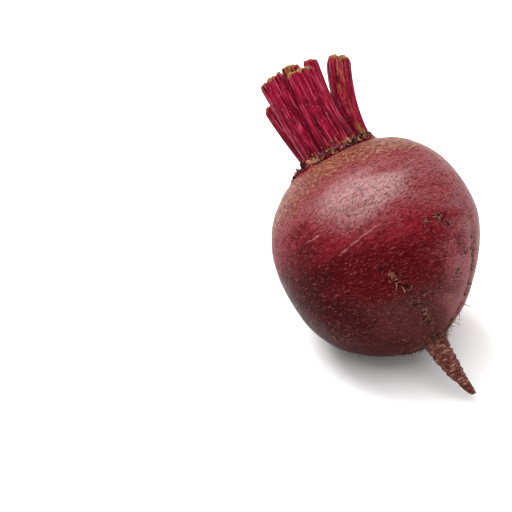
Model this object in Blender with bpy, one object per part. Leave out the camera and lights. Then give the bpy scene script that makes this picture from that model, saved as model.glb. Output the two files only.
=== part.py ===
"""A whole beetroot as picked, with its leaf stalks cut short, lying on its side.

The swollen root is a round body, drawn lopsided towards its tail and flattened where it lies. The tail root
and a few side rootlets are fused to it. The crown is a low corky dome, ringed with the dry bases of lost
leaves, and it sits on a seat cut in the root. Ribbed leaf stalks stand in the crown, each in its own socket.

Metres, +Z up. The origin is the middle of the flat spot that the root lies on, and the tail points to +X.
Each piece is drawn in the beet's own frame, whose origin is the middle of the root's widest ring: there +Z
runs up through the crown, +X is the side that faces up as it lies, and azimuths turn from +X towards +Y.
"""

import math
import random
from collections import namedtuple

import bmesh
import bpy
from mathutils import Matrix, Vector

MM = 0.001

# The body: two rounded halves that share the widest ring. Each follows
# radius = BODY_RADIUS * (1 - (height / reach) ** blunt) ** (1 / full), with its own reach, blunt and full.
BODY_RADIUS = 39.0 * MM
CROWN_HALF = (38.0 * MM, 2.15, 2.65)
TAIL_HALF = (43.6 * MM, 2.0, 1.7)
BODY_SIDES = 60
CROWN_HALF_RINGS = 12
TAIL_HALF_RINGS = 20

# How the beet lies: the crown end is up by this angle, and the middle of its widest ring is here.
LYING_TILT = math.radians(34.0)
BODY_MIDDLE = Vector((-2.7, 3.5, 38.8)) * MM

# The tail end of the body is pushed sideways, so the tail root leaves it off centre.
LOPSIDED_SHIFT = 3.1 * MM
LOPSIDED_AZIMUTH = math.radians(242.0)
LOPSIDED_REACH = 33.0 * MM

# The crown end leans the other way: it is this much lower for each metre towards CROWN_DIP, and the whole
# crown is drawn on that slope.
CROWN_DIP = math.radians(-28.0)
CROWN_DIP_SLOPE = 0.17
CROWN_DIP_START = 8.0 * MM

# Low swellings: (waves round the body, height in metres, turn, twist from crown to tail).
SWELLINGS = ((2, 0.35 * MM, 0.6, 0.5), (3, 0.3 * MM, 2.1, 1.7), (5, 0.2 * MM, 4.0, 2.6))

# Seams: the shallow furrows, one for each row of side rootlets, that climb slantwise from the tail. Each has
# its azimuth at SEAM_LEVEL, and turns by SEAM_SLANT radians for each metre down.
SEAM_AZIMUTHS = (math.radians(51.0), math.radians(-23.0), math.radians(230.0), math.radians(153.0))
SEAM_LEVEL = -35.0 * MM
SEAM_SLANT = 10.0
SEAM_DEPTH = 0.7 * MM
SEAM_HALF_WIDTH = 3.0 * MM
SEAM_TOP = -6.0 * MM

# The seat that the crown sits on, and the lip of the body round it.
SEAT_HEIGHT = 35.0 * MM
SEAT_RADIUS = 16.6 * MM
LIP_HEIGHT = 35.6 * MM

# The tail root: from inside the body to its tip, where it leaves the body, and how it bends as it goes.
TAIL_START = -37.0 * MM
TAIL_TIP = -67.2 * MM
TAIL_RADII = ((0.0, 5.4 * MM), (0.2, 4.3 * MM), (0.48, 3.7 * MM), (0.7, 2.6 * MM), (0.86, 1.75 * MM), (1.0, 0.8 * MM))
TAIL_FOOT = Vector((0.5, 1.2, 0.0)) * MM
TAIL_BEND = Vector((2.5, 2.6, 0.0)) * MM
TAIL_WRINKLES = 11
TAIL_WRINKLE = 0.035
TAIL_SIDES = 16
TAIL_RINGS = 30

# Side rootlets.
ROOTLETS_A_SEAM = 4
ROOTLETS_ROUND_TAIL = 6
ROOTLET_RADIUS = 0.5 * MM
ROOTLET_SIDES = 4

# The crown: (radius, height) up its side, in millimetres.
CLEARANCE = 0.3 * MM
SOCKET_ROOM = 0.45 * MM
CROWN_PROFILE = ((15.9, 35.3), (17.4, 36.3), (16.6, 37.6), (13.0, 38.9), (7.0, 39.8))
CROWN_SIDES = 36
RIM_SCALES = 26
SPIKY_SIDE = math.radians(62.0)
INNER_SCALES = 12

SHARP_ANGLE = math.radians(38.0)

# Leaf stalks, in millimetres: where the foot and the cut head stand across the crown, the head's height, the
# width round the crown and the depth out from it at the foot, the middle and the head, how far the middle bows
# out towards STALK_BOW, and how much the cut slopes down on the outside.
Stalk = namedtuple("Stalk", "name foot head height widths depths bow slope")
STALK_FOOT_HEIGHT = 36.4 * MM
STALK_RIBS = 12
STALK_RIB_DEPTH = 0.055
STALK_CHANNEL = 0.3
STALK_RINGS = 8
STALK_BOW = math.radians(242.0)
STALKS = (
    Stalk("stalk_1_side", (3.9, 12.8), (4.6, 19.3), 73.4, (6.6, 9.4, 10.4), (6.6, 9.6, 10.6), 2.6, 0.05),
    Stalk("stalk_2_front", (10.6, -0.5), (12.7, -1.7), 70.2, (14.2, 12.4, 10.4), (5.4, 6.4, 7.2), 0.6, 0.1),
    Stalk("stalk_3_inner", (5.8, 5.4), (6.2, 7.4), 75.4, (5.0, 5.8, 6.2), (4.8, 5.6, 6.2), 1.0, 0.1),
    Stalk("stalk_4_left", (3.0, -8.6), (4.8, -10.3), 73.8, (8.0, 9.6, 11.2), (5.2, 6.4, 7.4), 0.3, 0.2),
    Stalk("stalk_5_middle", (-0.4, -0.9), (0.6, 1.2), 77.8, (5.4, 6.0, 6.6), (7.2, 8.0, 8.4), 0.5, 0.1),
    Stalk("stalk_6_low_left", (-5.6, -6.4), (-9.2, -8.8), 68.2, (5.4, 5.9, 6.6), (5.2, 5.7, 6.2), 0.4, 0.2),
    Stalk("stalk_7_back", (-6.6, 6.8), (-11.0, 9.2), 66.0, (8.4, 8.6, 8.8), (5.4, 6.2, 6.8), 0.4, 0.25),
    Stalk("stalk_8_low_back", (-10.8, -0.6), (-15.2, -0.4), 62.0, (6.8, 7.2, 7.4), (4.8, 5.5, 6.2), 0.0, 0.3),
)


def clear_scene():
    for found in list(bpy.data.objects):
        bpy.data.objects.remove(found, do_unlink=True)


def material(name, colour, roughness):
    """A Principled material, with the colour given as linear red, green and blue."""
    made = bpy.data.materials.new(name)
    made.use_nodes = True
    shader = made.node_tree.nodes["Principled BSDF"]
    shader.inputs["Base Color"].default_value = (*colour, 1.0)
    shader.inputs["Roughness"].default_value = roughness
    shader.inputs["Metallic"].default_value = 0.0
    return made


def object_from(name, bm, finish=None, collection=None):
    """An object from a bmesh, in the beet's own frame, with outward faces."""
    bmesh.ops.recalc_face_normals(bm, faces=bm.faces)
    mesh = bpy.data.meshes.new(name)
    bm.to_mesh(mesh)
    bm.free()
    made = bpy.data.objects.new(name, mesh)
    (collection or bpy.context.scene.collection).objects.link(made)
    if finish:
        mesh.materials.append(finish)
    return made


def shade_smooth(target):
    """Rounds the shading, but keeps the edges of cuts and ribs sharp."""
    target.data.shade_smooth()
    target.data.set_sharp_from_angle(angle=SHARP_ANGLE)


def polar(azimuth, distance, height=0.0):
    return Vector((distance * math.cos(azimuth), distance * math.sin(azimuth), height))


def smooth(share):
    """0 below 0, 1 above 1, and an S-shaped rise between them."""
    share = min(1.0, max(0.0, share))
    return share * share * (3.0 - 2.0 * share)


def between(stops, share):
    """The value at a share along straight lines drawn through (share, value) stops."""
    for (start, low), (end, high) in zip(stops, stops[1:]):
        if share <= end:
            return low + (high - low) * (share - start) / (end - start)
    return stops[-1][1]


def loft(rings):
    """A closed bmesh through rings of points of one count, with a flat face across each end."""
    bm = bmesh.new()
    loops = [[bm.verts.new(point) for point in ring] for ring in rings]
    count = len(loops[0])
    for low, high in zip(loops, loops[1:]):
        for i in range(count):
            k = (i + 1) % count
            bm.faces.new((low[i], low[k], high[k], high[i]))
    bm.faces.new(loops[0][::-1])
    bm.faces.new(loops[-1])
    return bm


def round_ring(radius, height, sides):
    return [polar(2 * math.pi * k / sides, radius, height) for k in range(sides)]


def boolean(target, operation, collection):
    """Joins or cuts target with every object of the collection, which is then removed."""
    modifier = target.modifiers.new(operation.title(), "BOOLEAN")
    modifier.operation = operation
    modifier.operand_type = "COLLECTION"
    modifier.collection = collection
    modifier.solver = "EXACT"
    graph = bpy.context.evaluated_depsgraph_get()
    result = bpy.data.meshes.new_from_object(target.evaluated_get(graph))
    target.modifiers.remove(modifier)
    target.data = result
    for used in list(collection.objects):
        bpy.data.objects.remove(used, do_unlink=True)
    bpy.data.collections.remove(collection)


def bend_through(first, middle, last, share):
    """The value at a share along the curve through three values at its start, middle and end."""
    return first * (1 - share) * (1 - 2 * share) + middle * 4 * share * (1 - share) + last * share * (2 * share - 1)


def crown_dip(point):
    """How far the sloping crown end lies below a level one at a point."""
    away = point.x * math.cos(CROWN_DIP) + point.y * math.sin(CROWN_DIP)
    return Vector((0, 0, -CROWN_DIP_SLOPE * away))


def helper_collection(name):
    made = bpy.data.collections.new(name)
    bpy.context.scene.collection.children.link(made)
    return made


def keep_largest_body(target):
    """Drops the loose scraps that a cut leaves behind."""
    bm = bmesh.new()
    bm.from_mesh(target.data)
    left = set(bm.verts)
    bodies = []
    while left:
        body = set()
        edge = [left.pop()]
        while edge:
            vert = edge.pop()
            body.add(vert)
            near = {e.other_vert(vert) for e in vert.link_edges} - body
            left -= near
            edge.extend(near)
        bodies.append(body)
    bodies.sort(key=len)
    for scrap in bodies[:-1]:
        bmesh.ops.delete(bm, geom=list(scrap), context="VERTS")
    bm.to_mesh(target.data)
    bm.free()


def body_radius(height):
    """The radius of the round body at a height, before it is made lopsided."""
    reach, blunt, full = CROWN_HALF if height > 0 else TAIL_HALF
    return BODY_RADIUS * max(0.0, 1.0 - (abs(height) / reach) ** blunt) ** (1.0 / full)


def seam_furrow(azimuth, height, radius):
    """How deep the seams press in at a point of the body."""
    fade = smooth((SEAM_TOP - height) / (14.0 * MM)) * smooth(radius / (9.0 * MM))
    depth = 0.0
    for seam in SEAM_AZIMUTHS:
        away = azimuth - seam - SEAM_SLANT * (SEAM_LEVEL - height)
        away = abs((away + math.pi) % (2 * math.pi) - math.pi) * radius
        depth += SEAM_DEPTH * math.exp(-((away / SEAM_HALF_WIDTH) ** 2))
    return depth * fade


def body_point(azimuth, height):
    """A point on the finished body: round, then swollen, furrowed by the seams and pushed sideways."""
    radius = body_radius(height)
    fade = smooth((radius - 10 * MM) / (16 * MM)) * smooth((LIP_HEIGHT - height) / (8 * MM))
    for waves, rise, turn, twist in SWELLINGS:
        radius += fade * rise * math.sin(waves * azimuth + turn + twist * height / BODY_RADIUS)
    radius -= seam_furrow(azimuth, height, radius)
    shift = LOPSIDED_SHIFT * smooth(-height / LOPSIDED_REACH)
    point = polar(azimuth, radius, height) + polar(LOPSIDED_AZIMUTH, shift)
    return point + crown_dip(point) * smooth((height - CROWN_DIP_START) / (LIP_HEIGHT - CROWN_DIP_START))


def body_heights():
    """Ring heights from the lip to the tail end, closer together where the body turns in."""
    reach = CROWN_HALF[0]
    top = math.asin(LIP_HEIGHT / reach)
    heights = [reach * math.sin(top * (1 - i / CROWN_HALF_RINGS)) for i in range(CROWN_HALF_RINGS + 1)]
    reach = TAIL_HALF[0]
    last = 0.985 * math.pi / 2
    heights += [-reach * math.sin(last * i / TAIL_HALF_RINGS) for i in range(1, TAIL_HALF_RINGS + 1)]
    return heights


def make_body():
    rings = [[point + crown_dip(point) for point in round_ring(SEAT_RADIUS, SEAT_HEIGHT, BODY_SIDES)]]
    for height in body_heights():
        rings.append([body_point(2 * math.pi * k / BODY_SIDES, height) for k in range(BODY_SIDES)])
    return object_from("root", loft(rings))


def tail_middle(share):
    """The tail root's centreline, from inside the body (0) to its tip (1)."""
    return TAIL_FOOT + Vector((0, 0, TAIL_START + (TAIL_TIP - TAIL_START) * share)) + TAIL_BEND * share**2.5


def tail_radius(share):
    """It tapers to the tip, with ring wrinkles."""
    wrinkle = TAIL_WRINKLE * math.sin(2 * math.pi * TAIL_WRINKLES * share)
    return between(TAIL_RADII, share) * (1.0 + wrinkle)


def make_tail(collection):
    rings = []
    for i in range(TAIL_RINGS + 1):
        share = i / TAIL_RINGS
        middle = tail_middle(share)
        radius = tail_radius(share)
        rings.append([middle + polar(2 * math.pi * k / TAIL_SIDES, radius) for k in range(TAIL_SIDES)])
    return object_from("tail", loft(rings), collection=collection)


def make_rootlet(name, start, way, length, sag, collection):
    """A thin side rootlet: a tapered tube of few sides that starts inside the skin and bends over."""
    across = way.orthogonal().normalized()
    other = way.cross(across).normalized()
    rings = []
    for share in (0.0, 0.4, 0.75, 1.0):
        middle = start + way * length * share + sag * length * share * share
        radius = ROOTLET_RADIUS * (1.0 - 0.35 * share)
        ring = []
        for k in range(ROOTLET_SIDES):
            turn = 2 * math.pi * k / ROOTLET_SIDES
            ring.append(middle + (across * math.cos(turn) + other * math.sin(turn)) * radius)
        rings.append(ring)
    return object_from(name, loft(rings), collection=collection)


def place_rootlets(collection):
    """Rootlets stand out of each seam, closer together near the tail, and round the tail root's foot."""
    draw = random.Random(7)
    for s, seam in enumerate(SEAM_AZIMUTHS):
        for i in range(ROOTLETS_A_SEAM):
            height = -18 * MM - 21 * MM * ((i + draw.uniform(0.1, 0.9)) / ROOTLETS_A_SEAM) ** 0.8
            azimuth = seam + SEAM_SLANT * (SEAM_LEVEL - height) + draw.uniform(-0.04, 0.04)
            outward = polar(azimuth, 1.0, -0.5).normalized()
            start = body_point(azimuth, height) - outward * 1.5 * MM
            length = draw.uniform(2.8, 4.4) * MM
            sag = Vector((draw.uniform(-0.3, 0.3), draw.uniform(-0.3, 0.3), -0.3))
            if (LIE @ (start + outward * length)).z > 7 * MM:
                make_rootlet(f"rootlet_{s}_{i}", start, outward, length, sag, collection)
    for i in range(ROOTLETS_ROUND_TAIL):
        share = draw.uniform(0.25, 0.75)
        azimuth = draw.uniform(-0.6 * math.pi, 0.6 * math.pi)
        outward = polar(azimuth, 1.0, -0.3).normalized()
        start = tail_middle(share) + outward * (tail_radius(share) - 1.2 * MM)
        length = draw.uniform(2.2, 3.2) * MM
        make_rootlet(f"tail_rootlet_{i}", start, outward, length, -outward * 0.2, collection)


def make_root(finish):
    """Body, tail and rootlets fused, laid down, and cut level where the body meets the surface."""
    body = make_body()
    body.data.materials.append(finish)
    joined = helper_collection("root_pieces")
    make_tail(joined)
    place_rootlets(joined)
    boolean(body, "UNION", joined)
    body.data.transform(LIE)
    cutters = helper_collection("surface")
    bm = bmesh.new()
    bmesh.ops.create_cube(bm, size=0.4, matrix=Matrix.Translation((0, 0, -0.2)))
    object_from("below_surface", bm, collection=cutters)
    boolean(body, "DIFFERENCE", cutters)
    keep_largest_body(body)
    return body


def stalk_ring(stalk, share, grow):
    """One cross-section: an oval with ribs all round and a channel down the side that faces the crown's axis."""
    foot = Vector((*stalk.foot, 0)) * MM + Vector((0, 0, STALK_FOOT_HEIGHT))
    foot += crown_dip(foot)
    head = Vector((*stalk.head, stalk.height)) * MM
    bend = (foot + head) / 2 + polar(STALK_BOW, 2 * stalk.bow * MM)
    middle = foot * (1 - share) ** 2 + bend * 2 * share * (1 - share) + head * share**2
    along = ((bend - foot) * (1 - share) + (head - bend) * share).normalized()
    outward = Vector((*stalk.head, 0)).normalized()
    outward = (outward - along * outward.dot(along)).normalized()
    round_crown = along.cross(outward)
    width = bend_through(*stalk.widths, share) / 2 * MM
    depth = bend_through(*stalk.depths, share) / 2 * MM
    sloped = stalk.slope * smooth((share - 0.8) / 0.2)
    points = []
    count = STALK_RIBS * 2
    for k in range(count):
        turn = 2 * math.pi * k / count
        rib = 1.0 + STALK_RIB_DEPTH * (1 if k % 2 else -1)
        inner = max(0.0, -math.cos(turn))
        out = math.cos(turn) * (1.0 - STALK_CHANNEL * inner**3) * (depth * rib + grow)
        side = math.sin(turn) * (width * rib + grow)
        points.append(middle + outward * out + round_crown * side - along * sloped * out)
    return points


def make_stalk(stalk, finish):
    rings = [stalk_ring(stalk, i / STALK_RINGS, 0.0) for i in range(STALK_RINGS + 1)]
    made = object_from(stalk.name, loft(rings), finish)
    made.data.transform(LIE)
    return made


def make_socket(stalk, collection):
    """The room that a stalk's foot takes in the crown: the foot, grown by the clearance on every side."""
    rings = [stalk_ring(stalk, share, SOCKET_ROOM) for share in (0.0, 0.1, 0.25)]
    below = [point - Vector((0, 0, CLEARANCE)) for point in rings[0]]
    return object_from(stalk.name + "_socket", loft([below] + rings), collection=collection)


def make_scale(name, azimuth, distance, height, size, lean, draw, collection):
    """The dry base of a lost leaf: a thick ragged blade that narrows and curls away from the axis."""
    width, length, thickness = size
    outward = polar(azimuth, 1.0)
    side = polar(azimuth + math.pi / 2, 1.0)
    up = Vector((0, 0, 1))
    rings = []
    for share, narrow in ((0.0, 1.0), (0.5, 0.8), (1.0, draw.uniform(0.15, 0.5))):
        curl = lean * (0.5 + 0.8 * share)
        rise = (up * math.cos(curl) + outward * math.sin(curl)) * length * share
        middle = polar(azimuth, distance, height) + rise + side * draw.uniform(-0.5, 0.5) * MM * share
        half = max(0.35 * MM, width / 2 * narrow)
        thick = (outward * math.cos(curl) - up * math.sin(curl)) * thickness / 2
        ragged = side * draw.uniform(-0.15, 0.15) * width * narrow
        rings.append(
            [
                middle - side * half - thick,
                middle + ragged - thick * 1.3,
                middle + side * half - thick,
                middle + side * half + thick,
                middle - side * half + thick,
            ]
        )
    return object_from(name, loft(rings), collection=collection)


def make_crown(finish):
    """The dome, with a ring of scales on its rim and more among the stalks, cut clear of every stalk."""
    rings = [round_ring(radius * MM, height * MM, CROWN_SIDES) for radius, height in CROWN_PROFILE]
    crown = object_from("crown", loft(rings), finish)
    draw = random.Random(3)
    scales = helper_collection("scales")
    for i in range(RIM_SCALES):
        azimuth = 2 * math.pi * (i + draw.uniform(-0.3, 0.3)) / RIM_SCALES
        size = (draw.uniform(2.6, 4.4) * MM, draw.uniform(2.6, 4.4) * MM, draw.uniform(0.9, 1.3) * MM)
        open_side = max(0.0, math.cos(azimuth - SPIKY_SIDE))
        lean = math.radians(draw.uniform(-5, 20) + 30 * open_side)
        make_scale(f"rim_{i}", azimuth, 16.0 * MM, 36.9 * MM, size, lean, draw, scales)
    for i in range(INNER_SCALES):
        azimuth = 2 * math.pi * (i + draw.uniform(-0.3, 0.3)) / INNER_SCALES
        size = (draw.uniform(2.4, 3.6) * MM, draw.uniform(3.0, 4.6) * MM, draw.uniform(0.9, 1.1) * MM)
        lean = math.radians(draw.uniform(-5, 20))
        make_scale(f"inner_{i}", azimuth, 14.0 * MM, 37.4 * MM, size, lean, draw, scales)
    boolean(crown, "UNION", scales)
    for vert in crown.data.vertices:
        vert.co += crown_dip(vert.co)
    sockets = helper_collection("sockets")
    for stalk in STALKS:
        make_socket(stalk, sockets)
    boolean(crown, "DIFFERENCE", sockets)
    keep_largest_body(crown)
    crown.data.transform(LIE)
    return crown


# Turns the beet's own frame into the frame that it lies in: +Z goes to the crown's way, up and towards -X.
LIE = Matrix.Translation(BODY_MIDDLE) @ Matrix.Rotation(LYING_TILT - math.pi / 2, 4, "Y")


def main():
    clear_scene()
    skin = material("beet_skin", (0.135, 0.026, 0.032), 0.5)
    cork = material("crown_cork", (0.072, 0.028, 0.020), 0.85)
    stem = material("stalk_skin", (0.245, 0.012, 0.030), 0.42)
    pieces = [make_root(skin), make_crown(cork)]
    pieces += [make_stalk(stalk, stem) for stalk in STALKS]
    for piece in pieces:
        shade_smooth(piece)


main()
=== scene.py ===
"""A whole beetroot with its leaf stalks cut short, lying on a white table: skins, crown, hairs and light.

Laid out as a Blender add-on. Each operator makes one piece, or one group of like pieces, from the sizes and
colours in its settings, and the panel in the 3D view's sidebar lists them.

Metres, +Z up. Pieces are worked out in the beet's own frame, as the CAD part's are: its origin is the middle of
the root's widest ring, +Z runs up through the crown, +X is the side that faces up as the beet lies, and azimuths
turn from +X towards +Y. to_world() then lays them down.
"""

import math
import random

import bpy
import numpy as np
from bpy.props import FloatProperty, FloatVectorProperty, IntProperty, PointerProperty
from mathutils import Matrix, Vector


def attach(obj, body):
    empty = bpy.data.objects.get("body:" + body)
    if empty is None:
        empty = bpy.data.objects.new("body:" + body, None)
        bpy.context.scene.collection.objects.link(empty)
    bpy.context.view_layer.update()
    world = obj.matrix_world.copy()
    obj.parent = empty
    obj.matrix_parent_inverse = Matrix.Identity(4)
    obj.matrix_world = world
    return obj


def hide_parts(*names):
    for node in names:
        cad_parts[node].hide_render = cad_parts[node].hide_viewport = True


bl_info = {
    "name": "Beetroot With Cut Stalks",
    "version": (1, 0, 0),
    "blender": (4, 5, 0),
    "location": "3D View > Sidebar > Beetroot",
    "description": "Makes the skins, crown, root hairs and studio of a beetroot that lies on a table",
    "category": "Add Mesh",
}

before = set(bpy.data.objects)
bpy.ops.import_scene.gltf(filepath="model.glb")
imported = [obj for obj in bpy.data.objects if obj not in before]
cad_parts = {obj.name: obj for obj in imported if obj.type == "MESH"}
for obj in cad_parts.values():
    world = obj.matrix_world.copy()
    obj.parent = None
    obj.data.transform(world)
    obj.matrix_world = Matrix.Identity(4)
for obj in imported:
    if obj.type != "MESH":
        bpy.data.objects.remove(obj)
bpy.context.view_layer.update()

MM = 0.001
TURN = 2 * math.pi
UP = np.array((0.0, 0.0, 1.0))

# How the beet lies.
LYING_TILT = math.radians(34.0)
BODY_MIDDLE = np.array((-2.7, 3.5, 38.8)) * MM
LIE = np.array(Matrix.Rotation(LYING_TILT - math.pi / 2, 3, "Y"))

# The body's two rounded halves, (reach, blunt, full), as the CAD part has them.
CROWN_HALF = (38.0 * MM, 2.15, 2.65)
TAIL_HALF = (43.6 * MM, 2.0, 1.7)
LOPSIDED_AZIMUTH = math.radians(242.0)
LOPSIDED_SHIFT = 3.1 * MM
LOPSIDED_REACH = 33.0 * MM
CROWN_DIP = math.radians(-28.0)
CROWN_DIP_SLOPE = 0.17
CROWN_DIP_START = 8.0 * MM
SWELLINGS = ((2, 0.35 * MM, 0.6, 0.5), (3, 0.3 * MM, 2.1, 1.7), (5, 0.2 * MM, 4.0, 2.6))
LIP_HEIGHT = 35.6 * MM

# Seams, where the side rootlets stand in rows.
SEAM_AZIMUTHS = (math.radians(51.0), math.radians(-23.0), math.radians(230.0), math.radians(153.0))
SEAM_LEVEL = -35.0 * MM
SEAM_SLANT = 10.0
SEAM_DEPTH = 0.7 * MM
SEAM_HALF_WIDTH = 3.0 * MM
SEAM_TOP = -6.0 * MM

# Lone scars of lost rootlets: (azimuth in degrees, height in millimetres, width in millimetres), and how far from
# the axis they are.
SCAR_REACH = 37.0 * MM
SCARS = (
    (10.0, -10.0, 3.0),
    (16.0, -12.5, 1.6),
    (2.0, -9.5, 1.3),
    (23.0, -19.0, 1.3),
    (30.0, -22.5, 0.9),
    (21.0, -28.0, 1.8),
    (118.0, -14.0, 2.2),
    (101.0, -25.0, 1.4),
    (-98.0, -27.0, 1.6),
    (190.0, -13.0, 2.4),
    (205.0, -24.0, 1.5),
)

# Pits along each seam, and fine hairs along each, round the foot of the tail, on the tail, and hanging free.
SEAM_PITS = 34
SEAM_HAIRS = (110, 62, 26, 50)
FOOT_HAIRS = 230
TAIL_HAIRS = 70
LOOSE_HAIRS = 46

# Long pale scratches: (azimuth in degrees, height and length in millimetres, slope).
SCRATCHES = (
    (-37.0, -5.6, 19.0, 0.13),
    (-22.0, 2.5, 9.0, 0.2),
    (-60.0, 4.0, 8.0, -0.1),
    (12.0, 14.0, 7.0, 0.3),
    (95.0, -3.0, 13.0, -0.15),
    (150.0, 9.0, 10.0, 0.1),
    (215.0, -7.0, 12.0, 0.12),
    (-105.0, -9.0, 8.0, -0.2),
)

# The sides that the camera sees, that is darkened by painted shade, that is dustiest and carries a painted sheen,
# whose skin is torn at the crown, and where the crown's scales stand out like spikes.
FACING_SIDE = math.radians(-27.7)
PAINTED_SHADE_SIDE = math.radians(-118.0)
DUST_AND_SHEEN_SIDE = math.radians(75.0)
TORN_SIDE = math.radians(-88.0)
SPIKY_SIDE = math.radians(62.0)

# Painted highlight: a pale patch on the shoulder that stands in for the key light's sheen, and two fainter
# copies round the beet. Their azimuths, and how strong each is.
PAINTED_HIGHLIGHT_AZIMUTHS = np.radians((-23.0, 100.0, 215.0))
PAINTED_HIGHLIGHT_SHARES = np.array((1.0, 0.6, 0.5))

# The tail root.
TAIL_START = -37.0 * MM
TAIL_TIP = -67.2 * MM
TAIL_STOPS = (0.0, 0.2, 0.48, 0.7, 0.86, 1.0)
TAIL_RADII = np.array((5.4, 4.3, 3.7, 2.6, 1.75, 0.8)) * MM
TAIL_FOOT = np.array((0.5, 1.2, 0.0)) * MM
TAIL_BEND = np.array((2.5, 2.6, 0.0)) * MM

# Leaf stalks, in millimetres: node, foot and head across the crown, head height, widths and depths at the foot,
# the middle and the head, bow, slope of the cut, how olive the stalk is, and the azimuth of its greenest side.
STALK_FOOT_HEIGHT = 36.4
STALK_BOW = math.radians(242.0)
STALKS = (
    ("stalk_1_side", (3.9, 12.8), (4.6, 19.3), 73.4, (6.6, 9.4, 10.4), (6.6, 9.6, 10.6), 2.6, 0.05, 0.62, -8),
    ("stalk_2_front", (10.6, -0.5), (12.7, -1.7), 70.2, (14.2, 12.4, 10.4), (5.4, 6.4, 7.2), 0.6, 0.1, 0.12, -110),
    ("stalk_3_inner", (5.8, 5.4), (6.2, 7.4), 75.4, (5.0, 5.8, 6.2), (4.8, 5.6, 6.2), 1.0, 0.1, 0.12, 60),
    ("stalk_4_left", (3.0, -8.6), (4.8, -10.3), 73.8, (8.0, 9.6, 11.2), (5.2, 6.4, 7.4), 0.3, 0.2, 0.3, 20),
    ("stalk_5_middle", (-0.4, -0.9), (0.6, 1.2), 77.8, (5.4, 6.0, 6.6), (7.2, 8.0, 8.4), 0.5, 0.1, 0.75, -30),
    ("stalk_6_low_left", (-5.6, -6.4), (-9.2, -8.8), 68.2, (5.4, 5.9, 6.6), (5.2, 5.7, 6.2), 0.4, 0.2, 0.2, -60),
    ("stalk_7_back", (-6.6, 6.8), (-11.0, 9.2), 66.0, (8.4, 8.6, 8.8), (5.4, 6.2, 6.8), 0.4, 0.25, 0.5, 140),
    ("stalk_8_low_back", (-10.8, -0.6), (-15.2, -0.4), 62.0, (6.8, 7.2, 7.4), (4.8, 5.5, 6.2), 0.0, 0.3, 0.3, 200),
)
DOME_OVER_FOOT = 3.2

# The crown's profile, in millimetres: distance from the axis and height.
DOME_PROFILE = np.array(
    ((0.5, 35.3), (15.6, 35.3), (17.0, 36.0), (17.2, 36.8), (16.4, 37.8), (13.0, 38.9), (7.0, 39.8), (0.5, 40.1))
)

# The camera's way, and where it sees the middle of the body in a picture that is 512 pixels wide.
PICTURE = 512.0
BODY_IN_PICTURE = (378.0, 242.0)
CAMERA_RIGHT = Vector((0.5505, 0.8348, 0.0)).normalized()
CAMERA_AHEAD = Vector((-0.6838, 0.4510, -0.5736)).normalized()

# The lights: the key light's way by the camera's right, up and ahead, the top light's way, and how wide they are.
KEY_WAY = (-0.407, 0.904, -0.134)
KEY_SPREAD = math.radians(40)
TOP_WAY = Vector((-0.05, 0.0, 1.0)).normalized()
TOP_SPREAD = math.radians(90)

# The paper's profile in metres, from its middle to its raised edge. It lies a tenth of a millimetre low.
SWEEP_REACH = np.array((0.0, 0.6, 1.5, 2.4, 2.7, 2.9, 3.0, 3.03))
SWEEP_RISE = np.array((0.0, 0.0, 0.0, 0.0, 0.05, 0.2, 0.5, 0.9)) - 0.0001
SWEEP_SIDES = 64

# Settings of shader nodes that several materials share.
COLOURS = {"data_type": "RGBA", "output": 2}
EASED = {"interpolation_type": "SMOOTHSTEP"}
MIX, RANGE, MATHS = "ShaderNodeMix", "ShaderNodeMapRange", "ShaderNodeMath"
GRAIN, BUMP, PLACED, MASK = "ShaderNodeTexNoise", "ShaderNodeBump", "ShaderNodeMapping", "ShaderNodeAttribute"


def linear(code):
    """Linear red, green and blue from an sRGB hex code, by the sRGB curve."""
    shares = np.array([int(code[i : i + 2], 16) for i in (0, 2, 4)]) / 255
    return tuple(np.where(shares <= 0.04045, shares / 12.92, ((shares + 0.055) / 1.055) ** 2.4))


def colour(name, description, code):
    """A colour setting whose default is an sRGB hex code."""
    return FloatVectorProperty(
        name=name, description=description, subtype="COLOR", size=3, min=0.0, max=1.0, default=linear(code)
    )


def length(name, description, default):
    """A setting in metres."""
    return FloatProperty(name=name, description=description, unit="LENGTH", subtype="DISTANCE", default=default)


def number(name, description, default):
    """A setting that is a plain number."""
    return FloatProperty(name=name, description=description, subtype="UNSIGNED", default=default)


def count(name, description, default, least):
    """A setting that is a whole number."""
    return IntProperty(name=name, description=description, subtype="UNSIGNED", default=default, min=least)


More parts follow.
